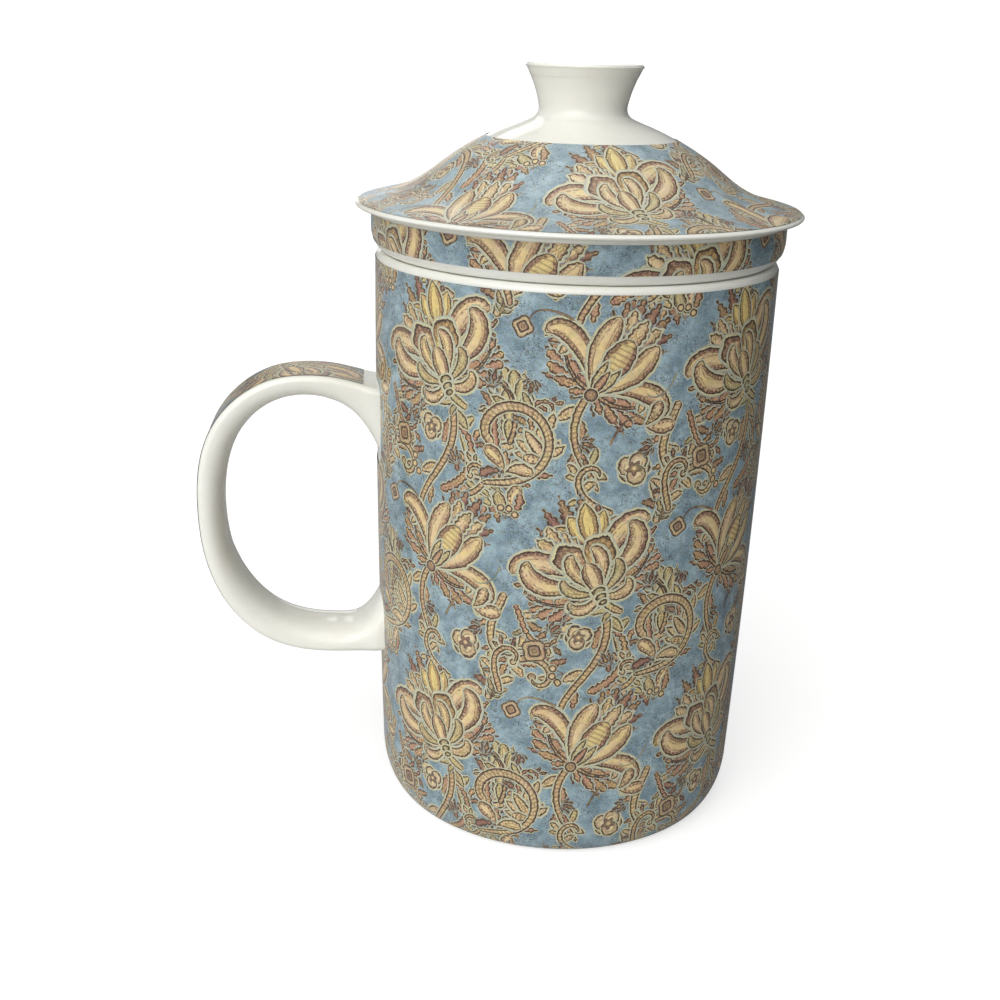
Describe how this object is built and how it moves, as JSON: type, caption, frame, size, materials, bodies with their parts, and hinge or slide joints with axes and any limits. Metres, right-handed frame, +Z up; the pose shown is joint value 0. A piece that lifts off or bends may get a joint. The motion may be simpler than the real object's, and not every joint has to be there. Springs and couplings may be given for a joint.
{
  "type": "lidded tea mug with infuser",
  "caption": "Tall straight-sided porcelain tea mug with a side handle, a drop-in perforated ceramic infuser and a loose flared lid with a knob, all with a scrolling flower print.",
  "frame": {"origin": "on the mug's axis, in the plane of the foot ring that the mug stands on", "axes": "+Z up along the mug's axis, the handle towards -X, the handle's own plane is XZ"},
  "size_m": [0.1144, 0.0836, 0.1452],
  "materials": {
    "porcelain": "gloss clear glaze over cool white porcelain",
    "print": "fired transfer under gloss glaze: grey-blue ground with cream, mauve-brown and grey-green scrolling flowers"
  },
  "bodies": {
    "mug": {"mug_body": "porcelain", "mug_handle": "porcelain", "mug_print": "print", "handle_print": "print"},
    "infuser": {"infuser": "porcelain", "collar_print": "print"},
    "lid": {"lid_shell": "porcelain", "lid_knob": "porcelain", "lid_print": "print"}
  },
  "joints": [
    {"name": "infuser_lift", "type": "slide", "parent": "mug", "child": "infuser", "axis": [0, 0, 1], "range_m": [0, 0.09]},
    {"name": "lid_lift", "type": "slide", "parent": "infuser", "child": "lid", "axis": [0, 0, 1], "range_m": [0, 0.05]}
  ]
}
